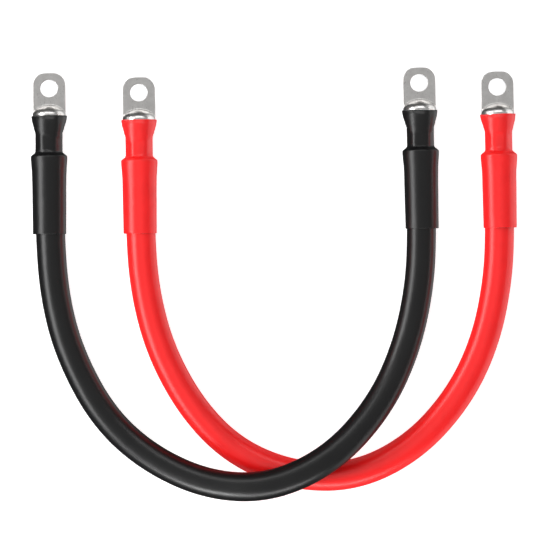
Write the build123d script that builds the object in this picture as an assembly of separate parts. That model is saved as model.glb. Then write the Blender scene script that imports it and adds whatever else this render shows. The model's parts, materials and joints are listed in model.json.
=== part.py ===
# Two battery link leads, one black and one red, lying in a crossed pair.
#
# Each lead is a thick flexible copper cable bent in a U.  Both of its ends
# carry a tubular ring lug, crimped on to the bare copper, and a length of
# adhesive-lined heat-shrink sleeve over the crimp and the end of the jacket.
#
# Millimetres, +Z up.  The leads lie on the plane z = 0 with the flat faces of
# the lugs level, and the lugs point along +Y.
from build123d import *
import math
import os

# ---- cable -----------------------------------------------------------------
JACKET_RADIUS = 8.75        # outside of the rubber jacket
JACKET_BORE_RADIUS = 6.25   # inside of the rubber jacket
FILM_RADIUS = 6.20          # paper tape wrapped round the copper
FILM_BORE_RADIUS = 5.95
BUNCH_RADIUS = 1.95         # one rope-laid bunch of fine copper wires
BUNCH_CIRCLE_RADIUS = 3.95  # the six outer bunches sit on this circle
OUTER_BUNCHES = 6

# ---- lug, measured along its own axis from the centre of the bolt hole -------
HOLE_RADIUS = 5.25          # 10.5 mm hole for an M10 or 3/8 inch stud
PALM_TIP = 9.3              # from the hole to the end of the palm
PALM_HALF_WIDTH = 9.8
PALM_CORNER_RADIUS = 6.3
PALM_THICKNESS = 3.0        # two tube walls pressed flat
PALM_EDGE_RADIUS = 0.35
BARREL_RADIUS = 7.3
BARREL_BORE_RADIUS = 6.0
DOME_START = 16.2           # the pressed-flat end meets the flattened tube here
DOME_LENGTH = 6.0
DOME_ANGLES = (16, 34, 56)   # where the dome is cut into sections, in degrees
BARREL_START = 26.5
BARREL_MOUTH = 41.0
BORE_END = 23.8
BORE_TIP = 20.8
CRIMP_START = 29.0
CRIMP_END = 38.0
CRIMP_ACROSS_FLATS = 13.7
COPPER_START = 24.2         # the copper bunches end here, inside the barrel
JACKET_START = 41.3

# Sections of the flattened tube between the palm and the round barrel:
# place along the axis, half width, height of the widest line, top height.
# Heights are from the barrel's axis; the underside stays level at -BARREL_RADIUS.
FLARE_SECTIONS = [
    (DOME_START, 9.8, -5.1, 5.7),
    (19.0, 9.5, -4.2, 6.6),
    (22.5, 8.6, -2.1, 7.1),
    (BARREL_START, BARREL_RADIUS, 0.0, BARREL_RADIUS),
]

# ---- heat-shrink sleeve ------------------------------------------------------
SLEEVE_START = 16.4
SLEEVE_END = {"black": 87.6, "red": 84.7}   # the red ones are cut a little shorter
GLUE_SETBACK = 0.5          # the glue stops short of both ends of the sleeve
GLUE_NECK = 0.3             # glue between the sleeve and the barrel
SLEEVE_NECK = 0.95          # glue and sleeve wall together on the barrel
# Radius of the sleeve and of the glue in it, along the axis past the barrel's
# round part.  The step is where the jacket begins.  Both are cut off at SLEEVE_END.
SLEEVE_PROFILE = [(38.2, 8.25), (41.0, 10.75), (42.4, 11.05), (46.0, 10.75), (52.0, 10.35), (88.2, 10.05)]
GLUE_PROFILE = [(38.6, 7.6), (41.2, 9.95), (42.4, 10.3), (46.0, 10.0), (52.0, 9.6), (88.2, 9.35)]

# ---- lay of the two cables -----------------------------------------------------
# Corners of each cable's route from the cut end of its jacket at the left lug to
# the one at the right lug.  The black one climbs over the red one near x = 14.
AXIS_HEIGHT = 11.05         # the widest part of the sleeves rests on z = 0
BLACK_ROUTE = [
    (-134.7, 76.3, AXIS_HEIGHT),
    (-134.4, 33.0, AXIS_HEIGHT),
    (-131.4, -8.0, 9.5),
    (-122.0, -43.0, 8.8),
    (-102.0, -80.0, 8.8),
    (-74.0, -105.0, 10.8),
    (-38.0, -120.6, 18.2),
    (-1.0, -121.2, 27.1),
    (35.0, -104.0, 27.4),
    (63.0, -73.5, 19.0),
    (79.5, -38.5, 11.0),
    (87.8, 0.0, 9.0),
    (88.9, 37.0, AXIS_HEIGHT),
    (88.1, 79.7, AXIS_HEIGHT),
]
RED_ROUTE = [
    (-80.6, 73.8, AXIS_HEIGHT),
    (-80.1, 32.0, AXIS_HEIGHT),
    (-77.2, -5.0, 9.5),
    (-67.5, -41.0, 8.8),
    (-48.0, -76.0, 8.8),
    (-22.0, -101.5, 8.8),
    (13.0, -115.3, 8.8),
    (50.0, -115.2, 8.8),
    (84.5, -97.5, 8.8),
    (111.0, -68.0, 8.8),
    (127.0, -34.5, 8.8),
    (134.6, 3.0, 9.5),
    (135.7, 38.0, AXIS_HEIGHT),
    (135.0, 77.3, AXIS_HEIGHT),
]
CORNER_SHARE = 0.45         # share of the shorter run that each bend takes up
CENTRING = (-0.17, -0.33)   # brings the middle of the pair's box to x = y = 0


# ---- lug ---------------------------------------------------------------------
def flare_face(along, half_width, mid_height, top_height, grow=0.0):
    """One section of the flattened tube: a high half ellipse on a low one."""
    wide = half_width + grow
    high = top_height - mid_height + grow
    low = mid_height + BARREL_RADIUS + grow
    if along < DOME_START:
        low = low * wide / PALM_HALF_WIDTH
    plane = Plane(origin=(0, along, 0), x_dir=(1, 0, 0), z_dir=(0, -1, 0))
    with BuildSketch(plane) as section:
        with BuildLine():
            EllipticalCenterArc((0, mid_height), wide, high, start_angle=0, arc_size=180)
            EllipticalCenterArc((0, mid_height), wide, low, start_angle=180, arc_size=180)
        make_face()
    return section.sketch.faces()[0]


def dome_sections():
    """Sections of the rounded front of the tube, which is part of an ellipsoid."""
    along, half_width, mid_height, top_height = FLARE_SECTIONS[0]
    sections = []
    for angle in DOME_ANGLES:
        share = math.sin(math.radians(angle))
        place = along - DOME_LENGTH * math.cos(math.radians(angle))
        height = mid_height + (top_height - mid_height) * share
        sections.append((place, half_width * share, mid_height, height))
    return sections


def pressed_tube(grow=0.0):
    """The tube from its rounded front to the barrel, swollen by grow all round."""
    faces = [flare_face(*section, grow) for section in dome_sections() + FLARE_SECTIONS]
    return loft(Sketch() + faces)


def rod(radius, start, end):
    """A round bar along the lug's axis."""
    plane = Plane(origin=(0, start, 0), z_dir=(0, 1, 0))
    return extrude(plane * Circle(radius), end - start)


def turned(profile):
    """A solid of revolution about the lug's axis from (place, radius) pairs."""
    outline = [(0, profile[0][0])]
    outline += [(radius, along) for along, radius in profile]
    outline += [(0, profile[-1][0])]
    face = make_face(Polyline(*outline, close=True))
    return revolve(face, Axis.Y)


def palm():
    """The flat end of the lug, with rounded corners and softened edges."""
    length = PALM_TIP + DOME_START
    blank = Pos(0, (DOME_START - PALM_TIP) / 2, 0) * Rectangle(2 * PALM_HALF_WIDTH, length)
    corners = blank.vertices().sort_by(Axis.Y)[:2]
    outline = fillet(corners, PALM_CORNER_RADIUS)
    plate = extrude(Pos(0, 0, -BARREL_RADIUS) * outline, PALM_THICKNESS)
    sides = plate.edges().filter_by(lambda edge: abs(edge.center().Y - DOME_START) > 0.01)
    rims = sides.filter_by(lambda edge: abs(edge.tangent_at(0.5).Z) < 0.5)
    return fillet(rims, PALM_EDGE_RADIUS)


def lug_body():
    """The whole lug before its bore and its bolt hole are made."""
    body = palm() + pressed_tube() + rod(BARREL_RADIUS, BARREL_START, BARREL_MOUTH)
    ring = rod(BARREL_RADIUS + 1, CRIMP_START, CRIMP_END)
    crimp_plane = Plane(origin=(0, CRIMP_START, 0), x_dir=(1, 0, 0), z_dir=(0, 1, 0))
    hexagon = RegularPolygon(CRIMP_ACROSS_FLATS / 2, 6, major_radius=False)
    core = extrude(crimp_plane * hexagon, CRIMP_END - CRIMP_START)
    return body - (ring - core)


def lug():
    """Ring lug: palm with its bolt hole, dome, barrel with a blind bore."""
    bore_plane = Plane(origin=(0, BORE_END, 0), z_dir=(0, -1, 0))
    bore = rod(BARREL_BORE_RADIUS, BORE_END, BARREL_MOUTH + 1)
    tip_length = BORE_END - BORE_TIP
    tip = bore_plane * Pos(0, 0, tip_length / 2) * Cone(BARREL_BORE_RADIUS, 2.0, tip_length)
    hole = Pos(0, 0, -BARREL_RADIUS) * Cylinder(HOLE_RADIUS, 4 * PALM_THICKNESS)
    return lug_body() - bore - tip - hole


# ---- sleeve and glue ------------------------------------------------------------
def envelope(grow, profile, start, end):
    """A solid that follows the lug and the jacket at a distance."""
    front = pressed_tube(grow)
    back = turned([(BARREL_START, BARREL_RADIUS + grow)] + profile)
    keep = rod(40, start, end)
    return (front + back) & keep


def sleeve(cut):
    """Heat-shrink wall from the flare of the lug to its cut over the jacket."""
    outside = envelope(SLEEVE_NECK, SLEEVE_PROFILE, SLEEVE_START, cut)
    inside = envelope(GLUE_NECK, GLUE_PROFILE, SLEEVE_START, cut)
    return outside - inside


def glue(cut):
    """Hot-melt lining: it fills the room between the sleeve and the lug."""
    filling = envelope(GLUE_NECK, GLUE_PROFILE, SLEEVE_START + GLUE_SETBACK, cut - GLUE_SETBACK)
    return filling - pressed_tube() - rod(BARREL_RADIUS, BARREL_START, JACKET_START)


# ---- cable ------------------------------------------------------------------------
def bend_radii(route):
    """One radius for each corner, so that neighbouring bends never meet."""
    radii = []
    for before, here, after in zip(route, route[1:], route[2:]):
        back = Vector(*before) - Vector(*here)
        ahead = Vector(*after) - Vector(*here)
        half_turn = math.radians(180 - back.get_angle(ahead)) / 2
        radii.append(CORNER_SHARE * min(back.length, ahead.length) / math.tan(half_turn))
    return radii


def centre_line(route, extend=0.0):
    """Straight runs joined by tangent arcs, longer by extend at both ends."""
    points = [Vector(*corner) for corner in route]
    points[0] = points[0] + (points[0] - points[1]).normalized() * extend
    points[-1] = points[-1] + (points[-1] - points[-2]).normalized() * extend
    return FilletPolyline(*points, radius=bend_radii(route)), points


def swept(route, extend, outer_radius, inner_radius=0.0, offset=(0.0, 0.0)):
    """A round bar or tube along the route, set off sideways by offset."""
    line, points = centre_line(route, extend)
    start = Plane(origin=points[0], x_dir=(1, 0, 0), z_dir=points[1] - points[0])
    section = start * Pos(*offset) * Circle(outer_radius)
    solid = sweep(section, path=line)
    if inner_radius:
        solid = solid - sweep(start * Pos(*offset) * Circle(inner_radius), path=line)
    print("  swept volume", round(solid.volume), "section x length",
          round(math.pi * (outer_radius ** 2 - inner_radius ** 2) * line.length))
    return solid


def copper_bunches(route):
    """One bunch in the middle and six round it, running into both barrels."""
    reach = JACKET_START - COPPER_START
    offsets = [(0.0, 0.0)]
    for number in range(OUTER_BUNCHES):
        angle = math.tau * number / OUTER_BUNCHES
        offsets.append((BUNCH_CIRCLE_RADIUS * math.cos(angle), BUNCH_CIRCLE_RADIUS * math.sin(angle)))
    return [swept(route, reach, BUNCH_RADIUS, 0.0, offset) for offset in offsets]


# ---- one lead -----------------------------------------------------------------------
def lug_place(jacket_end, next_corner):
    """Where a lug's own frame goes: its +Y points from the hole into the cable."""
    along = (Vector(*next_corner) - Vector(*jacket_end)).normalized()
    hole = Vector(*jacket_end) - along * JACKET_START
    return Plane(origin=hole, x_dir=along.cross(Vector(0, 0, 1)), z_dir=(0, 0, 1))


def centred(route):
    """The route moved sideways, so that the pair lies round the origin."""
    return [(x + CENTRING[0], y + CENTRING[1], z) for x, y, z in route]


def lead(colour, route):
    print(colour, "bend radii", [round(radius) for radius in bend_radii(route)])
    print(colour, "jacket length", round(centre_line(route)[0].length, 1))
    pieces = {}
    jacket = swept(route, 0.0, JACKET_RADIUS, JACKET_BORE_RADIUS)
    jacket_core = swept(route, 0.0, JACKET_RADIUS)
    pieces[colour + "_jacket"] = jacket
    pieces[colour + "_film"] = swept(route, 0.0, FILM_RADIUS, FILM_BORE_RADIUS)
    for number, bunch in enumerate(copper_bunches(route), start=1):
        pieces[colour + "_bunch_" + str(number)] = bunch
    ends = {"left": (route[0], route[1]), "right": (route[-1], route[-2])}
    for side, (jacket_end, next_corner) in ends.items():
        place = lug_place(jacket_end, next_corner)
        print(colour, side, "hole at", [round(value, 2) for value in place.origin])
        pieces[colour + "_lug_" + side] = place * lug()
        pieces[colour + "_sleeve_" + side] = place * sleeve(SLEEVE_END[colour])
        pieces[colour + "_glue_" + side] = place * glue(SLEEVE_END[colour]) - jacket_core
    return pieces


# ---- write the parts ------------------------------------------------------------------
os.makedirs("parts", exist_ok=True)
everything = {**lead("black", centred(BLACK_ROUTE)), **lead("red", centred(RED_ROUTE))}
for node, shape in everything.items():
    shape.label = node
    export_step(shape, "parts/" + node + ".step")
box = Compound(children=list(everything.values())).bounding_box()
print("box min", [round(value, 2) for value in box.min], "max", [round(value, 2) for value in box.max])
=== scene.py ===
# %% [markdown]
# # Two battery link leads
# A black and a red battery cable lie in a crossed pair on a white table.  Each
# cable ends in two tinned ring lugs, held and sealed by heat-shrink sleeves.  The
# part's solid model is loaded first as a fixed frame, and every piece made here
# goes where the frame says.  All lengths are in metres.

# %% Load the frame
import bmesh
import bpy
import json
import math
from mathutils import Matrix, Vector
from mathutils import noise as field


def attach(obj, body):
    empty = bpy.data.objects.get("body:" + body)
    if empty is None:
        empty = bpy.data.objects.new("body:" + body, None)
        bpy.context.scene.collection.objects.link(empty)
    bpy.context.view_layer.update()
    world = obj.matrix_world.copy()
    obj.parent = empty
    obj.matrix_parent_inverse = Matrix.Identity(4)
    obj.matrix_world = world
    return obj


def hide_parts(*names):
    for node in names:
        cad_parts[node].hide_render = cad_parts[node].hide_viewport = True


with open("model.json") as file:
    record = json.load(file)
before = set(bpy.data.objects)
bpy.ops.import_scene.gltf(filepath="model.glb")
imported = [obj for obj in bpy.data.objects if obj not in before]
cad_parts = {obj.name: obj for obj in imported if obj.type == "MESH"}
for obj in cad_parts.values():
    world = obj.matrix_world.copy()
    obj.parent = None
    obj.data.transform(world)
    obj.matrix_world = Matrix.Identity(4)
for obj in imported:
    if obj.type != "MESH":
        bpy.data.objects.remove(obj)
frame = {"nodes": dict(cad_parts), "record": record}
record = frame["record"]
scene = bpy.context.scene
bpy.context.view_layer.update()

# %% [markdown]
# ## Camera
# The pair is looked at from straight above.  A short lens close by would show the
# sides of the raised cable; a long lens far away shows hardly any perspective.  A
# camera with no turn of its own looks down -Z with +Y at the top of the picture.

# %% Camera straight above
VIEW_WIDTH = 0.330
LENS = 300.0
SENSOR = 36.0
LOOK_HEIGHT = 0.009
MIDDLE = (0.0006, 0.0052)

camera_data = bpy.data.cameras.new("overhead_camera")
camera_data.lens = LENS
camera_data.sensor_width = SENSOR
camera_data.clip_start = 0.1
camera_data.clip_end = 12.0
camera = bpy.data.objects.new("overhead_camera", camera_data)
camera.location = (MIDDLE[0], MIDDLE[1], LOOK_HEIGHT + VIEW_WIDTH * LENS / SENSOR)
scene.collection.objects.link(camera)
scene.camera = camera
print("camera height", round(camera.location.z, 3))

# %% [markdown]
# ## The lay of the cables
# A thick copper cable holds a bend like a stiff spring: no corners, only long
# curves.  A NURBS spline gives that.  Its control points pull the line towards
# them without touching it, so a handful of points makes the whole U.  The black
# cable climbs over the red one near the bottom of its own U.

# %% Route points
AXIS_HEIGHT = 0.01105
CENTRING = (-0.00017, -0.00033)   # moves both routes so that the part sits centred
BLACK_ROUTE = [
    (-0.1347, 0.0763, AXIS_HEIGHT),
    (-0.1344, 0.0330, AXIS_HEIGHT),
    (-0.1314, -0.0080, 0.0095),
    (-0.1220, -0.0430, 0.0088),
    (-0.1020, -0.0800, 0.0088),
    (-0.0740, -0.1050, 0.0108),
    (-0.0380, -0.1206, 0.0182),
    (-0.0010, -0.1212, 0.0271),
    (0.0350, -0.1040, 0.0274),
    (0.0630, -0.0735, 0.0190),
    (0.0795, -0.0385, 0.0110),
    (0.0878, 0.0000, 0.0090),
    (0.0889, 0.0370, AXIS_HEIGHT),
    (0.0881, 0.0797, AXIS_HEIGHT),
]
RED_ROUTE = [
    (-0.0806, 0.0738, AXIS_HEIGHT),
    (-0.0801, 0.0320, AXIS_HEIGHT),
    (-0.0772, -0.0050, 0.0095),
    (-0.0675, -0.0410, 0.0088),
    (-0.0480, -0.0760, 0.0088),
    (-0.0220, -0.1015, 0.0088),
    (0.0130, -0.1153, 0.0088),
    (0.0500, -0.1152, 0.0088),
    (0.0845, -0.0975, 0.0088),
    (0.1110, -0.0680, 0.0088),
    (0.1270, -0.0345, 0.0088),
    (0.1346, 0.0030, 0.0095),
    (0.1357, 0.0380, AXIS_HEIGHT),
    (0.1350, 0.0773, AXIS_HEIGHT),
]
print("route points:", len(BLACK_ROUTE), "black,", len(RED_ROUTE), "red")

# %% A spline through the air
STEPS_PER_POINT = 20
SMOOTHNESS = 3   # order of the spline: it stays close to its points and has no kinks


def cable_line(name, route):
    """The cable's own centre line: points along a NURBS spline laid over the route."""
    curve = bpy.data.curves.new(name, "CURVE")
    curve.dimensions = "3D"
    spline = curve.splines.new("NURBS")
    spline.points.add(len(route) - 1)
    for point, (x, y, z) in zip(spline.points, route):
        point.co = (x + CENTRING[0], y + CENTRING[1], z, 1.0)
    spline.order_u = SMOOTHNESS
    spline.use_endpoint_u = True
    spline.resolution_u = STEPS_PER_POINT
    holder = bpy.data.objects.new(name, curve)
    scene.collection.objects.link(holder)
    bpy.context.view_layer.update()
    evaluated = holder.evaluated_get(bpy.context.evaluated_depsgraph_get())
    mesh = bpy.data.meshes.new_from_object(evaluated)
    points = [vertex.co.copy() for vertex in mesh.vertices]
    bpy.data.objects.remove(holder)
    bpy.data.curves.remove(curve)
    bpy.data.meshes.remove(mesh)
    return points


def line_length(points):
    return sum((here - there).length for here, there in zip(points, points[1:]))


black_line = cable_line("black_line", BLACK_ROUTE)
red_line = cable_line("red_line", RED_ROUTE)
print("black cable", round(line_length(black_line), 4), "m")
print("red cable", round(line_length(red_line), 4), "m")

# %% [markdown]
# ## Rings into a skin
# Cable, sleeve and lug are all long things with a changing cross-section.  Each is
# made the same way: rings of points, one after the other, joined by faces.  That
# gives clean rows of quads, an even shading, and a map that runs along the piece.

# %% Helpers that turn rings into a piece
def skin(mesh, rings, closed_around=True, closed_along=False):
    """Joins rows of bmesh vertices with quads; gives each face a lengthwise map."""
    around = len(rings[0])
    layer = mesh.loops.layers.uv.verify()
    rows = list(zip(rings, rings[1:]))
    if closed_along:
        rows.append((rings[-1], rings[0]))
    along = 0.0
    for this, that in rows:
        step = (that[0].co - this[0].co).length
        for number in range(around if closed_around else around - 1):
            after = (number + 1) % around
            corners = (this[number], this[after], that[after], that[number])
            face = mesh.faces.new(corners)
            face.smooth = True
            places = {
                this[number]: (number / around, along),
                this[after]: ((number + 1) / around, along),
                that[after]: ((number + 1) / around, along + step),
                that[number]: (number / around, along + step),
            }
            for loop in face.loops:
                loop[layer].uv = places[loop.vert]
        along += step


def ring_of(mesh, points):
    """One row of bmesh vertices."""
    return [mesh.verts.new(point) for point in points]


def piece_from(mesh, name, material):
    """Closes the bmesh and puts it in the scene as one object."""
    bmesh.ops.recalc_face_normals(mesh, faces=mesh.faces)
    data = bpy.data.meshes.new(name)
    mesh.to_mesh(data)
    mesh.free()
    data.uv_layers[0].name = "lengthwise"
    data.materials.append(material)
    made = bpy.data.objects.new(name, data)
    scene.collection.objects.link(made)
    print(name, "has", len(data.vertices), "points")
    return made


print("helpers for pieces ready")

# %% [markdown]
# ## Building finishes from nodes
# Every finish here is one Principled shader with a little variety fed into it.
# Noise sizes are given in metres, so a grain of half a millimetre is written as
# 0.0005 and stays half a millimetre on every piece.

# %% Small words for node trees
NOISE_LOW = 0.3    # hardly any of the noise is below this, or above the next
NOISE_HIGH = 0.7


def start_finish(name):
    """An empty material with its shader, its tree and the coordinates of the piece."""
    material = bpy.data.materials.new(name)
    material.use_nodes = True
    tree = material.node_tree
    shader = tree.nodes["Principled BSDF"]
    place = tree.nodes.new("ShaderNodeTexCoord")
    return material, tree, shader, place.outputs["Object"]


def stretched(tree, place, stretch):
    """Coordinates scaled along each axis, for streaks and brushing."""
    scaled = tree.nodes.new("ShaderNodeMapping")
    scaled.inputs["Scale"].default_value = stretch
    tree.links.new(place, scaled.inputs["Vector"])
    return scaled.outputs["Vector"]


def speckle(tree, place, size, detail=3.0, roughness=0.55):
    """Noise whose patches are about size metres across."""
    made = tree.nodes.new("ShaderNodeTexNoise")
    made.inputs["Scale"].default_value = 1.0 / size
    made.inputs["Detail"].default_value = detail
    made.inputs["Roughness"].default_value = roughness
    tree.links.new(place, made.inputs["Vector"])
    return made.outputs["Fac"]


def spread(tree, value, low, high):
    """Turns noise into numbers between low and high."""
    made = tree.nodes.new("ShaderNodeMapRange")
    made.inputs["From Min"].default_value = NOISE_LOW
    made.inputs["From Max"].default_value = NOISE_HIGH
    made.inputs["To Min"].default_value = low
    made.inputs["To Max"].default_value = high
    tree.links.new(value, made.inputs["Value"])
    return made.outputs["Result"]


def two_tones(tree, value, first, second):
    """A colour between first and second, led by noise."""
    ramp = tree.nodes.new("ShaderNodeValToRGB")
    ramp.color_ramp.elements[0].position = NOISE_LOW
    ramp.color_ramp.elements[0].color = (*first, 1.0)
    ramp.color_ramp.elements[1].position = NOISE_HIGH
    ramp.color_ramp.elements[1].color = (*second, 1.0)
    tree.links.new(value, ramp.inputs["Fac"])
    return ramp.outputs["Color"]


def relief(tree, height, depth, below=None):
    """A bump of the given depth in metres, on top of another bump."""
    made = tree.nodes.new("ShaderNodeBump")
    made.inputs["Distance"].default_value = depth
    made.inputs["Strength"].default_value = 1.0
    tree.links.new(height, made.inputs["Height"])
    if below is not None:
        tree.links.new(below, made.inputs["Normal"])
    return made.outputs["Normal"]


print("words for finishes ready")

# %% [markdown]
# ## Rubber jacket
# The jacket is extruded rubber, pressed on the copper strands while it is warm.
# It is satin: a soft broad highlight, a very fine grain, faint draw marks along
# its length and slight hills where the rope of strands pushes out.  The draw marks
# need the lengthwise map; all the rest is noise in the piece's own coordinates.

# %% Jacket finish
def jacket_rubber(name, deep, pale):
    material, tree, shader, place = start_finish(name)
    mapped = tree.nodes.new("ShaderNodeUVMap")
    mapped.uv_map = "lengthwise"
    drawn = stretched(tree, mapped.outputs["UV"], (70.0, 18.0, 1.0))
    clouds = speckle(tree, place, 0.012, 4.0)
    tree.links.new(two_tones(tree, clouds, deep, pale), shader.inputs["Base Color"])
    grain = speckle(tree, place, 0.00045, 2.0)
    tree.links.new(spread(tree, grain, 0.29, 0.37), shader.inputs["Roughness"])
    hills = relief(tree, speckle(tree, place, 0.009, 1.0), 0.00012)
    marks = relief(tree, speckle(tree, drawn, 1.0, 2.0), 0.00003, hills)
    fine = relief(tree, grain, 0.00002, marks)
    tree.links.new(fine, shader.inputs["Normal"])
    return material


black_rubber = jacket_rubber("black_jacket_rubber", (0.0026, 0.0026, 0.0028), (0.0042, 0.0042, 0.0044))
red_rubber = jacket_rubber("red_jacket_rubber", (0.84, 0.0060, 0.0066), (0.90, 0.0080, 0.0088))
print("jacket finishes made")

# %% [markdown]
# ## The two jackets
# The spline gives the middle of the cable.  Across each of its points stands one
# ring of the jacket, always turned the same way up, so that the map's seam stays
# on the underside.  The wall has its real thickness and is closed at both ends.

# %% Jacket tubes
JACKET_RADIUS = 0.00875
JACKET_BORE_RADIUS = 0.00625
JACKET_AROUND = 64


def crosswise(line, number):
    """The level direction across the line at a point, and the upright one."""
    ahead = line[min(number + 1, len(line) - 1)]
    behind = line[max(number - 1, 0)]
    forward = (ahead - behind).normalized()
    side = forward.cross(Vector((0, 0, 1))).normalized()
    return side, side.cross(forward)


def circle_at(line, number, radius):
    """Points round the line, from its underside."""
    side, up = crosswise(line, number)
    points = []
    for step in range(JACKET_AROUND):
        angle = math.tau * step / JACKET_AROUND - math.pi / 2
        points.append(line[number] + radius * (math.cos(angle) * side + math.sin(angle) * up))
    return points


def jacket_tube(name, line, material):
    mesh = bmesh.new()
    walls = []
    for radius in (JACKET_RADIUS, JACKET_BORE_RADIUS):
        walls.append([ring_of(mesh, circle_at(line, number, radius)) for number in range(len(line))])
    outside, inside = walls
    skin(mesh, outside + inside[::-1], closed_along=True)
    return piece_from(mesh, name, material)


black_jacket = jacket_tube("black_cable", black_line, black_rubber)
red_jacket = jacket_tube("red_cable", red_line, red_rubber)

# %% The jackets on their leads
EXIT_DEPTH = 0.028   # the grip of the left lug and its sleeve is taken to end here


def point_along(line, distance):
    """The point that far along the line from its start."""
    for here, there in zip(line, line[1:]):
        step = (there - here).length
        if distance <= step:
            return here.lerp(there, distance / step)
        distance -= step
    return line[-1]


for colour, jacket, line in (("black", black_jacket, black_line), ("red", red_jacket, red_line)):
    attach(jacket, colour + "_lead")
    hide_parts(colour + "_jacket")
    leaves = point_along(line, EXIT_DEPTH)
    print(colour, "cable is free from", [round(value, 4) for value in leaves])

# %% [markdown]
# ## Where the lugs stand
# The record of the part gives each bolt hole and a spot on the same palm a little
# nearer to the cable.  The line from one to the other is the lug's own axis.  A
# lug and its sleeve are made once, about that axis, and placed by one matrix.

# %% A frame for each lug
AXIS_ABOVE_HOLE = 0.0058   # from the middle of the palm's thickness to the barrel's axis
ENDS = [(colour, side) for colour in ("black", "red") for side in ("left", "right")]
mounts = {mount["name"]: Vector(mount["pos_m"]) for mount in record["mounts"]}


def lug_frame(colour, side):
    """The matrix that takes x across, y along the lug and z up into the scene."""
    hole = mounts[colour + "_" + side + "_bolt_hole"]
    towards = mounts[colour + "_" + side + "_palm_face"] - hole
    along = Vector((towards.x, towards.y, 0)).normalized()
    across = along.cross(Vector((0, 0, 1)))
    turn = Matrix((across, along, (0, 0, 1))).transposed().to_4x4()
    return Matrix.Translation(hole + Vector((0, 0, AXIS_ABOVE_HOLE))) @ turn


LUG_FRAMES = {end: lug_frame(*end) for end in ENDS}
for end, place in LUG_FRAMES.items():
    print(*end, [round(value, 4) for value in place.translation])

# %% [markdown]
# ## Cross-sections of the pressed tube
# A ring lug begins as a copper tube.  One end is pressed flat for the palm; between
# the flat and the round part the tube flares.  Its section there is a high half
# ellipse standing on a low one, and both become a circle at the barrel.

# %% Section of the flare
BARREL_RADIUS = 0.0073
PALM_END = 0.0162
# Place along the lug, half width, height of the widest line, height of the top.
FLARE = [
    (PALM_END, 0.0098, -0.0051, 0.0057),
    (0.0190, 0.0095, -0.0042, 0.0066),
    (0.0225, 0.0086, -0.0021, 0.0071),
    (0.0265, BARREL_RADIUS, 0.0, BARREL_RADIUS),
]


def eased(values, along):
    """A smooth curve through (place, value) pairs, level outside them."""
    if along <= values[0][0]:
        return values[0][1]
    if along >= values[-1][0]:
        return values[-1][1]
    slopes = [0.0]
    for (a, va), (b, vb), (c, vc) in zip(values, values[1:], values[2:]):
        before = (vb - va) / (b - a)
        after = (vc - vb) / (c - b)
        slopes.append(0.0 if before * after <= 0 else 2 * before * after / (before + after))
    slopes.append(0.0)
    for number in range(len(values) - 1):
        (a, va), (b, vb) = values[number], values[number + 1]
        if along <= b:
            break
    width = b - a
    t = (along - a) / width
    return ((2 * t ** 3 - 3 * t ** 2 + 1) * va + (t ** 3 - 2 * t ** 2 + t) * width * slopes[number]
            + (3 * t ** 2 - 2 * t ** 3) * vb + (t ** 3 - t ** 2) * width * slopes[number + 1])


def flare_section(along):
    """Half width, height of the widest line, reach above it and reach below it."""
    half = eased([(row[0], row[1]) for row in FLARE], along)
    middle = eased([(row[0], row[2]) for row in FLARE], along)
    top = eased([(row[0], row[3]) for row in FLARE], along)
    return half, middle, top - middle, middle + BARREL_RADIUS


def on_section(section, angle, grow=0.0):
    """A point of a flare section; angle 0 is to the right, a quarter turn is up."""
    half, middle, high, low = section
    reach = high if math.sin(angle) >= 0 else low
    return (half + grow) * math.cos(angle), middle + (reach + grow) * math.sin(angle)


print("flare at the dome", [round(value, 4) for value in flare_section(PALM_END)])

# %% [markdown]
# ## Tin plate
# Lugs are pure copper under a few microns of tin, tumbled rather than polished.
# Tin is a soft grey with a touch of warmth.  The press leaves long faint scuffs
# and the plating is a little mottled, so both colour and roughness wander.

# %% Tin finish
def tin_plate(name):
    material, tree, shader, place = start_finish(name)
    shader.inputs["Metallic"].default_value = 1.0
    mottle = speckle(tree, place, 0.0035, 5.0)
    greys = two_tones(tree, mottle, (0.78, 0.765, 0.745), (0.90, 0.885, 0.865))
    tree.links.new(greys, shader.inputs["Base Color"])
    scuffs = speckle(tree, stretched(tree, place, (6.0, 1.0, 1.0)), 0.0045, 4.0, 0.7)
    tree.links.new(spread(tree, scuffs, 0.26, 0.36), shader.inputs["Roughness"])
    waves = relief(tree, speckle(tree, place, 0.006, 1.0), 0.000007)
    pits = relief(tree, speckle(tree, place, 0.0004, 2.0), 0.000003, waves)
    tree.links.new(pits, shader.inputs["Normal"])
    return material


tin = tin_plate("tin_plate")
print("tin plate made")

# %% [markdown]
# ## Ring lug: palm
# The palm is two tube walls pressed into one flat plate, with a round hole for the
# stud.  A boolean cut would leave long thin faces.  Rings that run round the hole
# give clean ones: they cross the top from the hole to the outline, changing from
# one shape to the other, turn over the rim and come back underneath.  Small
# roundings at every edge catch the light as real ones do.

# %% Palm outline
PALM_TIP = 0.0093
PALM_HALF_WIDTH = 0.0098
PALM_CORNER_RADIUS = 0.0063
PALM_CROWN = 0.0011    # how far the tip's middle stands out past its sides
PALM_BOTTOM = -0.0073
PALM_TOP = -0.0043
HOLE_RADIUS = 0.00525
CORNER_STEPS = 18
SIDE_STEPS = 22
TIP_STEPS = 10
BACK_STEPS = 24


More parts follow.
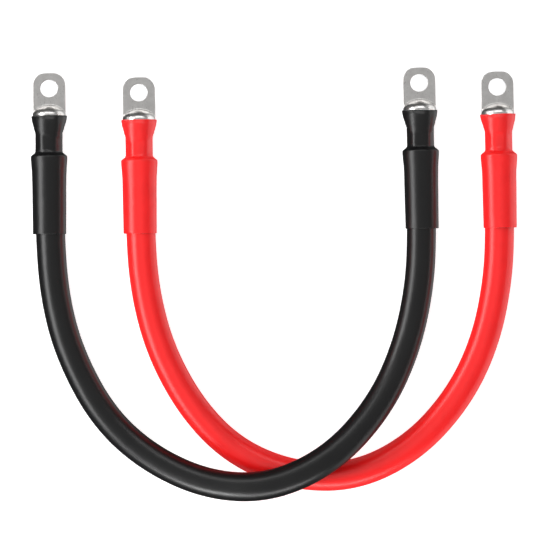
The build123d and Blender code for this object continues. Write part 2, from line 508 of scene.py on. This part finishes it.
def palm_outline():
    """Points round the palm: along its left side, round the tip, back on the right, across."""
    inner = PALM_HALF_WIDTH - PALM_CORNER_RADIUS
    centre = PALM_CORNER_RADIUS - PALM_TIP
    shoulder = centre + PALM_CROWN
    points = []
    for side in (-1, 1):
        for step in range(CORNER_STEPS + 1):
            turn = math.pi / 2 * step / CORNER_STEPS
            angle = math.pi + turn if side < 0 else 1.5 * math.pi + turn
            points.append((side * inner + PALM_CORNER_RADIUS * math.cos(angle),
                           centre + PALM_CORNER_RADIUS * math.sin(angle)))
        if side < 0:
            steps = range(1, TIP_STEPS)
            points += [(-inner + 2 * inner * step / TIP_STEPS, -PALM_TIP) for step in steps]
    points = [(x, y + PALM_CROWN * (x / PALM_HALF_WIDTH) ** 2) for x, y in points]
    sides = [PALM_END + (shoulder - PALM_END) * step / SIDE_STEPS for step in range(SIDE_STEPS)]
    left = [(-PALM_HALF_WIDTH, y) for y in sides]
    right = [(PALM_HALF_WIDTH, y) for y in sides[::-1]]
    width = 2 * PALM_HALF_WIDTH
    back = [(PALM_HALF_WIDTH - width * step / BACK_STEPS, PALM_END) for step in range(1, BACK_STEPS)]
    return left + points + right + back


def shrunk(outline, inset):
    """The outline moved inwards, by the direction across it at each point."""
    moved = []
    for before, here, after in zip(outline[-1:] + outline[:-1], outline, outline[1:] + outline[:1]):
        run = Vector((after[0] - before[0], after[1] - before[1])).normalized()
        moved.append((here[0] - run.y * inset, here[1] + run.x * inset))
    return moved


OUTLINE = palm_outline()
print("palm outline has", len(OUTLINE), "points")

# %% Palm plate
EDGE_ROUND = 0.00040
HOLE_ROUND = 0.00018
ROUND_STEPS = 5
FLAT_SHARES = (0.0, 0.02, 0.2, 0.45, 0.7, 0.9, 0.98, 1.0)   # from the hole to the rim


def hole_circle(radius):
    """Points round the hole, each in line with the outline's point of the same number."""
    points = []
    for x, y in OUTLINE:
        size = math.hypot(x, y)
        points.append((x / size * radius, y / size * radius))
    return points


def palm_rings():
    """Rings from the hole's wall over the top, round the rim and back underneath."""
    rings = []
    hole_edge = hole_circle(HOLE_RADIUS + HOLE_ROUND)
    rim_edge = shrunk(OUTLINE, EDGE_ROUND)
    for step in range(ROUND_STEPS):
        turn = math.pi / 2 * step / ROUND_STEPS
        loop = hole_circle(HOLE_RADIUS + HOLE_ROUND * (1 - math.cos(turn)))
        rings.append((loop, PALM_TOP - HOLE_ROUND * (1 - math.sin(turn))))
    for share in FLAT_SHARES:
        loop = []
        for (hole_x, hole_y), (rim_x, rim_y) in zip(hole_edge, rim_edge):
            loop.append((hole_x + (rim_x - hole_x) * share, hole_y + (rim_y - hole_y) * share))
        rings.append((loop, PALM_TOP))
    for step in range(1, ROUND_STEPS + 1):
        turn = math.pi / 2 * step / ROUND_STEPS
        loop = shrunk(OUTLINE, EDGE_ROUND * (1 - math.sin(turn)))
        rings.append((loop, PALM_TOP - EDGE_ROUND * (1 - math.cos(turn))))
    middle = (PALM_TOP + PALM_BOTTOM) / 2
    return rings + [(loop, 2 * middle - height) for loop, height in rings[::-1]]


def add_palm(mesh):
    rows = [ring_of(mesh, [(x, y, height) for x, y in loop]) for loop, height in palm_rings()]
    skin(mesh, rows, closed_along=True)


print("palm is made of", len(palm_rings()), "rings")

# %% [markdown]
# ## Ring lug: dome and barrel
# Where the press stopped, the tube rises from the palm in a rounded step, with a
# small hollow along its foot.  The front of the dome is part of an ellipsoid, laid
# up in level rows from the foot to the top, because the hollow follows its foot.
# Behind it the sections of the flare run to the barrel, which is squeezed to six
# flats where it grips the copper.

# %% Front of the dome
DOME_LENGTH = 0.0060
FOOT_ROUND = 0.00085
FOOT_STEPS = 7
FOOT_FADE = 0.7         # how the hollow dies out towards the sides
FOOT_LIFT = 0.00001     # keeps the foot just off the palm's surface
DOME_UP = 26
DOME_ROUND = 48


def dome_point(turn, height_share, foot=0.0):
    """A point of the dome: turn is 0 at its front, and foot moves it out of the wall."""
    half, middle, high, _ = flare_section(PALM_END)
    level = math.sqrt(max(0.0, 1 - height_share ** 2))
    x = half * math.sin(turn) * level
    y = PALM_END - DOME_LENGTH * math.cos(turn) * level
    out = Vector((math.sin(turn) / half, -math.cos(turn) / DOME_LENGTH)).normalized()
    reach = foot * max(0.0, math.cos(turn)) ** FOOT_FADE
    return x + out.x * reach, y + out.y * reach, middle + high * height_share


def add_dome(mesh):
    """The ellipsoid's front half, with a hollow foot that runs out into the palm."""
    _, middle, high, _ = flare_section(PALM_END)
    rows = []
    for step in range(FOOT_STEPS + 1):
        bend = math.pi / 2 * step / FOOT_STEPS
        height = PALM_TOP + FOOT_LIFT + FOOT_ROUND * (1 - math.cos(bend))
        rows.append(((height - middle) / high, FOOT_ROUND * (1 - math.sin(bend))))
    foot_top = math.asin(rows[-1][0])
    for step in range(1, DOME_UP):
        rows.append((math.sin(foot_top + (math.pi / 2 - foot_top) * step / DOME_UP), 0.0))
    rings = []
    for share, foot in rows:
        turns = [math.pi * (step / DOME_ROUND - 0.5) for step in range(DOME_ROUND + 1)]
        rings.append(ring_of(mesh, [dome_point(turn, share, foot) for turn in turns]))
    skin(mesh, rings, closed_around=False)
    top = mesh.verts.new(dome_point(0.0, 1.0))
    for here, there in zip(rings[-1], rings[-1][1:]):
        mesh.faces.new((here, there, top)).smooth = True


print("front of the dome", [round(value, 4) for value in dome_point(0.0, 0.0)])

# %% Flare, barrel and crimp
BARREL_MOUTH = 0.0410
BARREL_BORE_RADIUS = 0.0060
BORE_START = 0.0238
BORE_TIP_LENGTH = 0.003
BORE_TIP_RADIUS = 0.002
CRIMP_START = 0.0290
CRIMP_END = 0.0380
CRIMP_EDGE = 0.0008
CRIMP_FLAT = 0.00685
CRIMP_SOFTNESS = 0.0001
TUBE_AROUND = 96
TUBE_STEP = 0.0004
FLAT_TURN = math.radians(60)   # six flats round the barrel


def smooth_step(low, high, value):
    share = min(1.0, max(0.0, (value - low) / (high - low)))
    return share * share * (3 - 2 * share)


def squeezed(angle, radius, flat, softness):
    """Distance from the axis to a round bar with six flats pressed into it."""
    off = (angle - FLAT_TURN / 2) % FLAT_TURN
    off = min(off, FLAT_TURN - off)
    plane = flat / math.cos(off)
    gap = (plane - radius) / softness
    if gap > 30:
        return radius
    return plane - softness * math.log(1 + math.exp(gap))


def barrel_point(along, angle):
    x, z = on_section(flare_section(along), angle)
    pressed = smooth_step(CRIMP_START - CRIMP_EDGE, CRIMP_START, along)
    pressed *= 1 - smooth_step(CRIMP_END, CRIMP_END + CRIMP_EDGE, along)
    if pressed:
        size = math.hypot(x, z)
        flattened = squeezed(angle, BARREL_RADIUS, CRIMP_FLAT, CRIMP_SOFTNESS)
        share = 1 + pressed * (flattened / BARREL_RADIUS - 1)
        x, z = x / size * BARREL_RADIUS * share, z / size * BARREL_RADIUS * share
    return x, along, z


def add_barrel(mesh):
    count = int((BARREL_MOUTH - PALM_END) / TUBE_STEP)
    places = [PALM_END + TUBE_STEP * step for step in range(count)]
    angles = [math.tau * step / TUBE_AROUND for step in range(TUBE_AROUND)]
    rings = [ring_of(mesh, [barrel_point(along, angle) for angle in angles]) for along in places]
    bore = [(BARREL_MOUTH, BARREL_RADIUS), (BARREL_MOUTH, BARREL_BORE_RADIUS)]
    bore += [(BORE_START, BARREL_BORE_RADIUS), (BORE_START - BORE_TIP_LENGTH, BORE_TIP_RADIUS)]
    for along, radius in bore:
        circle = [(radius * math.cos(angle), along, radius * math.sin(angle)) for angle in angles]
        rings.append(ring_of(mesh, circle))
    skin(mesh, rings)
    mesh.faces.new(rings[-1])


crimp_top = barrel_point((CRIMP_START + CRIMP_END) / 2, math.pi / 2)
print("middle of a flat of the crimp", [round(value, 4) for value in crimp_top])

# %% Four lugs
WELD_DISTANCE = 0.000002


def ring_lug(name, place):
    mesh = bmesh.new()
    add_palm(mesh)
    add_dome(mesh)
    add_barrel(mesh)
    bmesh.ops.remove_doubles(mesh, verts=mesh.verts, dist=WELD_DISTANCE)
    mesh.transform(place)
    return piece_from(mesh, name, tin)


for colour, side in ENDS:
    lug = ring_lug(colour + "_ring_lug_" + side, LUG_FRAMES[colour, side])
    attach(lug, colour + "_lead")
    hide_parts(colour + "_lug_" + side)

# %% [markdown]
# ## Heat-shrink finish
# Shrink sleeve is a polyolefin plastic, harder than the rubber jacket and about as
# shiny.  As it shrinks it takes up an orange-peel surface, and the hot glue under
# it shows as very low, wide hills.  Three sizes of bump on top of each other give
# that: hills, peel and a fine grain.

# %% Sleeve finish
def shrink_plastic(name, deep, pale):
    material, tree, shader, place = start_finish(name)
    clouds = speckle(tree, place, 0.010, 3.0)
    tree.links.new(two_tones(tree, clouds, deep, pale), shader.inputs["Base Color"])
    peel = speckle(tree, place, 0.0014, 2.0)
    grain = speckle(tree, place, 0.0004, 2.0)
    tree.links.new(spread(tree, grain, 0.30, 0.38), shader.inputs["Roughness"])
    hills = relief(tree, speckle(tree, place, 0.007, 1.0), 0.00010)
    skin_bump = relief(tree, peel, 0.00002, hills)
    tree.links.new(relief(tree, grain, 0.00001, skin_bump), shader.inputs["Normal"])
    return material


black_shrink = shrink_plastic("black_heat_shrink", (0.0026, 0.0026, 0.0028), (0.0040, 0.0040, 0.0042))
red_shrink = shrink_plastic("red_heat_shrink", (0.86, 0.0060, 0.0066), (0.92, 0.0080, 0.0088))
print("sleeve finishes made")

# %% [markdown]
# ## Heat-shrink sleeves
# One sleeve covers the flare, the crimp and the end of the jacket, and shows all
# of them through itself: the flare at its front, the flats of the crimp on its
# neck, a shoulder where the jacket starts, and a clean cut at the cable end.  A
# shrinkwrap over the lug would do, but its folds can't be steered.  So the rings
# follow the lug's own sections first and a turned profile after them.

# %% Outside of a sleeve
SLEEVE_START = 0.0164
SLEEVE_END = {"black": 0.0876, "red": 0.0847}
NECK_WALL = 0.00095
NECK_END = 0.0376
SHOULDER = [   # place along the lug, radius
    (NECK_END, 0.00825), (0.0384, 0.00836), (0.0391, 0.00888), (0.0398, 0.00975), (0.0404, 0.01052),
    (0.0409, 0.01090), (0.0415, 0.01103), (0.0424, 0.01102), (0.0460, 0.01077), (0.0520, 0.01038),
    (0.0700, 0.01016), (0.0882, 0.01004),
]
SLEEVE_AROUND = 96
SLEEVE_FLAT = 0.00788       # the crimp's flats as they show through
SLEEVE_SOFTNESS = 0.0003
CRIMP_SKEW = math.radians(4)   # each crimp is turned a little
CRIMP_LEAN = 0.0012         # and its edges stand a little out of square
CRIMP_FADE_IN = (0.0281, 0.0302)
CRIMP_FADE_OUT = (0.0372, 0.0384)
WAIST_FILL = 0.00032        # the sleeve bridges the waist behind the flare
WAIST_FADE_IN = (0.0230, 0.0248)
WAIST_FADE_OUT = (0.0257, 0.0272)
HILL_DEPTH = 0.00006
HILLS_ACROSS = 160          # noise turns per metre
HILLS_ALONG = 110


def swell(along, fade_in, fade_out):
    """A share that rises from 0 to 1 over fade_in and falls back over fade_out."""
    return smooth_step(*fade_in, along) * (1 - smooth_step(*fade_out, along))


def sleeve_point(along, angle, seed, inset=0.0):
    """A point of the sleeve's outside, or of its inside when inset is its wall."""
    if along <= NECK_END:
        fill = WAIST_FILL * swell(along, WAIST_FADE_IN, WAIST_FADE_OUT) * math.cos(angle) ** 2
        x, z = on_section(flare_section(along), angle, NECK_WALL - inset + fill)
    else:
        radius = eased(SHOULDER, along) - inset
        x, z = radius * math.cos(angle), radius * math.sin(angle)
    leaning = along + CRIMP_LEAN * math.sin(angle + seed)
    pressed = swell(leaning, CRIMP_FADE_IN, CRIMP_FADE_OUT)
    if pressed:
        turned = angle + CRIMP_SKEW * math.sin(seed)
        full = BARREL_RADIUS + NECK_WALL
        share = 1 + pressed * (squeezed(turned, full, SLEEVE_FLAT, SLEEVE_SOFTNESS) / full - 1)
        x, z = x * share, z * share
    hills = field.noise(Vector((x * HILLS_ACROSS + seed, along * HILLS_ALONG, z * HILLS_ACROSS)))
    share = 1 - HILL_DEPTH * (1 - hills) / math.hypot(x, z)
    return x * share, along, z * share


print("sleeve neck", [round(value, 4) for value in sleeve_point(0.033, math.pi / 2, 0.0)])

# %% Sleeve with its wall and its cut ends
WALL = 0.00065
LIP = 0.00028
LIP_STEPS = 4
FRONT_WALL = 0.00088
MOUTH_WALL = 0.00062
FRONT_DEPTH = 0.001       # how far in the thicker front wall goes
MOUTH_DEPTH = 0.002
INNER_GAP = 0.001
# Rows of rings: where each row begins, the step between its rings, how many.
RING_ROWS = [(SLEEVE_START + LIP, 0.0004, 54), (0.0383, 0.00025, 24), (0.0445, 0.0010, 44)]
LAST_GAP = 0.0002
FRONT_REACH = 0.006       # how far back the crooked cut of the front is felt
FRONT_WAVE = 0.00018
FRONT_LEAN = 0.00022


def sleeve_places(cut):
    """Places of the rings, close together where the shape changes fast."""
    places = [start + gap * step for start, gap, count in RING_ROWS for step in range(count)]
    return [along for along in places if along < cut - LIP - LAST_GAP] + [cut - LIP]


def sleeve_rows(cut):
    """Place and inset of each ring: front lip, outside, back lip, and back along the inside."""
    bends = [math.pi / 2 * step / LIP_STEPS for step in range(LIP_STEPS + 1)]
    lip = [(LIP * (1 - math.sin(bend)), LIP * (1 - math.cos(bend))) for bend in bends]
    rows = [(SLEEVE_START + back, inset) for back, inset in lip[-2::-1]]
    rows += [(along, 0.0) for along in sleeve_places(cut)]
    rows += [(cut - back, inset) for back, inset in lip[1:]]
    rows += [(cut, MOUTH_WALL), (cut - MOUTH_DEPTH, WALL)]
    front = SLEEVE_START + FRONT_DEPTH
    for along in sleeve_places(cut)[::-3]:
        if front + INNER_GAP < along < cut - MOUTH_DEPTH - INNER_GAP:
            rows.append((along, WALL))
    return rows + [(front, FRONT_WALL), (SLEEVE_START, FRONT_WALL)]


def wandering(along, angle, seed, inset):
    """A point of the sleeve, with the front edge cut a little out of square."""
    x, y, z = sleeve_point(along, angle, seed, inset)
    near = 1 - smooth_step(SLEEVE_START, SLEEVE_START + FRONT_REACH, along)
    wander = FRONT_WAVE * math.sin(angle * 2 + seed) + FRONT_LEAN * math.sin(angle + 2.1 * seed)
    return x, y + near * max(0.0, wander), z


def shrink_sleeve(name, place, seed, cut, material):
    mesh = bmesh.new()
    angles = [math.tau * step / SLEEVE_AROUND - math.pi / 2 for step in range(SLEEVE_AROUND)]
    rings = []
    for along, inset in sleeve_rows(cut):
        rings.append(ring_of(mesh, [wandering(along, angle, seed, inset) for angle in angles]))
    skin(mesh, rings, closed_along=True)
    mesh.transform(place)
    return piece_from(mesh, name, material)


print("black sleeve has", len(sleeve_rows(SLEEVE_END["black"])), "rings")

# %% Four sleeves
for number, (colour, side) in enumerate(ENDS):
    material = black_shrink if colour == "black" else red_shrink
    name = colour + "_heat_shrink_" + side
    place = LUG_FRAMES[colour, side]
    seed = 1.3 + 1.7 * number
    sleeve = shrink_sleeve(name, place, seed, SLEEVE_END[colour], material)
    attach(sleeve, colour + "_lead")
    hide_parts(colour + "_sleeve_" + side)

# %% [markdown]
# ## Glue at the mouth of each sleeve
# The sleeve is lined with hot-melt glue.  When it shrinks, a thin bead of glue is
# pushed out between the sleeve and the jacket.  It is a ring with a rounded front
# that stands out a little more in some places than in others.

# %% Glue finish
def hot_glue(name, deep, pale):
    material, tree, shader, place = start_finish(name)
    blobs = speckle(tree, place, 0.0025, 3.0)
    tree.links.new(two_tones(tree, blobs, deep, pale), shader.inputs["Base Color"])
    tree.links.new(spread(tree, blobs, 0.18, 0.32), shader.inputs["Roughness"])
    tree.links.new(relief(tree, blobs, 0.00008), shader.inputs["Normal"])
    return material


dark_glue = hot_glue("dark_hot_glue", (0.006, 0.005, 0.0045), (0.013, 0.011, 0.009))
print("glue finish made")

# %% Beads of glue
BEAD_INNER = 0.00866
BEAD_OUTER = 0.00945
BEAD_PROUD = 0.00018
BEAD_SET_BACK = 0.0001      # its rounded front begins just inside the mouth
BEAD_DEPTH = 0.0015
BEAD_STEPS = 8
BEAD_AROUND = 72


def glue_bead(name, place, seed, cut):
    mesh = bmesh.new()
    middle = (BEAD_INNER + BEAD_OUTER) / 2
    half = (BEAD_OUTER - BEAD_INNER) / 2
    turns = [math.pi * step / BEAD_STEPS for step in range(BEAD_STEPS + 1)]
    rows = [(middle + half * math.cos(turn), BEAD_SET_BACK, math.sin(turn)) for turn in turns]
    rows += [(BEAD_INNER, BEAD_DEPTH, 0.0), (BEAD_OUTER, BEAD_DEPTH, 0.0)]
    rings = []
    for radius, depth, bulge in rows:
        ring = []
        for number in range(BEAD_AROUND):
            angle = math.tau * number / BEAD_AROUND - math.pi / 2
            proud = BEAD_PROUD * (0.7 + 0.3 * math.sin(3 * angle + seed)) * bulge
            ring.append((radius * math.cos(angle), cut - depth + proud, radius * math.sin(angle)))
        rings.append(ring_of(mesh, ring))
    skin(mesh, rings, closed_along=True)
    mesh.transform(place)
    return piece_from(mesh, name, dark_glue)


for number, (colour, side) in enumerate(ENDS):
    name = colour + "_glue_bead_" + side
    bead = glue_bead(name, LUG_FRAMES[colour, side], 0.9 * number, SLEEVE_END[colour])
    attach(bead, colour + "_lead")

# %% [markdown]
# ## What is inside
# Copper bunches, paper tape and the glue lining are in the frame already, and the
# jackets and sleeves hide them.  They keep their shapes and get real finishes, so
# that a cut or an exploded view looks right.

# %% Copper strands and paper tape
def fine_wire_copper(name):
    material, tree, shader, place = start_finish(name)
    shader.inputs["Metallic"].default_value = 1.0
    wires = speckle(tree, place, 0.0006, 3.0)
    coppers = two_tones(tree, wires, (0.55, 0.24, 0.13), (0.80, 0.42, 0.27))
    tree.links.new(coppers, shader.inputs["Base Color"])
    tree.links.new(spread(tree, wires, 0.25, 0.45), shader.inputs["Roughness"])
    tree.links.new(relief(tree, wires, 0.0001), shader.inputs["Normal"])
    return material


def paper_tape(name):
    material, tree, shader, place = start_finish(name)
    fibres = speckle(tree, stretched(tree, place, (1.0, 3.0, 1.0)), 0.0012, 5.0)
    buffs = two_tones(tree, fibres, (0.62, 0.58, 0.49), (0.74, 0.71, 0.63))
    tree.links.new(buffs, shader.inputs["Base Color"])
    tree.links.new(spread(tree, fibres, 0.75, 0.9), shader.inputs["Roughness"])
    tree.links.new(relief(tree, fibres, 0.00005), shader.inputs["Normal"])
    return material


INSIDES = {
    "bunch": fine_wire_copper("fine_wire_copper"),
    "film": paper_tape("paper_tape"),
    "glue": dark_glue,
}
dressed = 0
for node, carried in frame["nodes"].items():
    for word, material in INSIDES.items():
        if "_" + word in node:
            carried.data.materials.clear()
            carried.data.materials.append(material)
            dressed += 1
print("inside nodes dressed:", dressed)

# %% [markdown]
# ## Table and light
# The table is plain white and glows a little, so that shadows almost vanish.  A
# white table would also be mirrored as a pale rim on both sides of every black
# cable, so it is kept out of reflections, and the dark horizon is mirrored there.
# Round black things are drawn by what they mirror: the lights are long boxes low
# at the sides, which leave a stripe along each cable, and the sky is dim.  The box
# overhead lifts matt colour only, because its mirror image would be a grey band.

# %% White table
TABLE_SIZE = 6.0
TABLE_GLOW = 0.65


def white_table():
    mesh = bmesh.new()
    half = TABLE_SIZE / 2
    corners = ((-half, -half), (half, -half), (half, half), (-half, half))
    mesh.faces.new([mesh.verts.new((x, y, 0.0)) for x, y in corners])
    data = bpy.data.meshes.new("white_table")
    mesh.to_mesh(data)
    mesh.free()
    made = bpy.data.objects.new("white_table", data)
    scene.collection.objects.link(made)
    material, tree, shader, place = start_finish("table_white")
    paper = speckle(tree, place, 0.02, 2.0)
    whites = two_tones(tree, paper, (0.88, 0.88, 0.88), (0.90, 0.90, 0.90))
    tree.links.new(whites, shader.inputs["Base Color"])
    shader.inputs["Roughness"].default_value = 0.9
    shader.inputs["Specular IOR Level"].default_value = 0.1
    shader.inputs["Emission Color"].default_value = (1.0, 1.0, 1.0, 1.0)
    shader.inputs["Emission Strength"].default_value = TABLE_GLOW
    data.materials.append(material)
    return made


table = white_table()
table.visible_glossy = False
table.visible_shadow = False
print("table is", TABLE_SIZE, "m wide and shows in no reflection")

# %% Dim sky with a low glow on the right
OVERHEAD = 0.40
HORIZON = 0.05
RIGHT_GLOW = 1.15


def between(tree, value, low, high, bottom, top):
    """A soft ramp: bottom where value is under low, top where it is over high."""
    ramp = tree.nodes.new("ShaderNodeMapRange")
    ramp.interpolation_type = "SMOOTHSTEP"
    ramp.inputs["From Min"].default_value = low
    ramp.inputs["From Max"].default_value = high
    ramp.inputs["To Min"].default_value = bottom
    ramp.inputs["To Max"].default_value = top
    tree.links.new(value, ramp.inputs["Value"])
    return ramp.outputs["Result"]


def joined(tree, operation, first, second):
    """Two values added or multiplied."""
    made = tree.nodes.new("ShaderNodeMath")
    made.operation = operation
    tree.links.new(first, made.inputs[0])
    tree.links.new(second, made.inputs[1])
    return made.outputs["Value"]


def dim_sky():
    """Grey overhead, almost black at the horizon, with a low glow on the right."""
    world = bpy.data.worlds.new("dim_studio")
    world.use_nodes = True
    tree = world.node_tree
    way = tree.nodes.new("ShaderNodeTexCoord")
    parts = tree.nodes.new("ShaderNodeSeparateXYZ")
    tree.links.new(way.outputs["Generated"], parts.inputs["Vector"])
    overhead = between(tree, parts.outputs["Z"], 0.10, 0.75, HORIZON, OVERHEAD)
    low = between(tree, parts.outputs["Z"], -0.02, 0.10, RIGHT_GLOW, 0.0)
    right = between(tree, parts.outputs["X"], 0.35, 0.85, 0.0, 1.0)
    sky = joined(tree, "ADD", overhead, joined(tree, "MULTIPLY", low, right))
    tree.links.new(sky, tree.nodes["Background"].inputs["Strength"])
    tree.nodes["Background"].inputs["Color"].default_value = (1.0, 1.0, 1.0, 1.0)
    return world


scene.world = dim_sky()
scene.view_settings.view_transform = "Standard"
print("sky goes from", HORIZON, "at the horizon to", OVERHEAD, "overhead")


# %% Soft boxes
def soft_box(name, side, elevation, distance, size, radiance):
    """A flat light that faces the leads; side is in degrees, 0 at +X and 90 at +Y."""
    light = bpy.data.lights.new(name, "AREA")
    light.shape = "RECTANGLE"
    light.size, light.size_y = size
    light.energy = radiance * math.pi * size[0] * size[1]
    made = bpy.data.objects.new(name, light)
    across = distance * math.cos(math.radians(elevation))
    height = distance * math.sin(math.radians(elevation))
    angle = math.radians(side)
    made.location = (across * math.cos(angle), across * math.sin(angle), height)
    made.rotation_euler = (-Vector(made.location)).to_track_quat("-Z", "Y").to_euler()
    scene.collection.objects.link(made)
    return made


# Name, side and elevation in degrees, distance, width and height, brightness.
soft_box("left_box", 180, 29, 1.5, (2.2, 0.66), 5.4)
soft_box("front_box", 270, 14, 1.6, (1.6, 0.35), 6.8)
soft_box("front_left_box", 240, 17, 1.5, (0.45, 0.28), 16.0)
soft_box("right_box", 0, 9, 1.6, (2.4, 0.20), 2.4)
soft_box("back_box", 90, 42, 1.5, (1.7, 0.36), 2.6)
top = soft_box("top_box", 90, 89, 1.8, (1.5, 1.5), 1.0)
top.visible_glossy = False
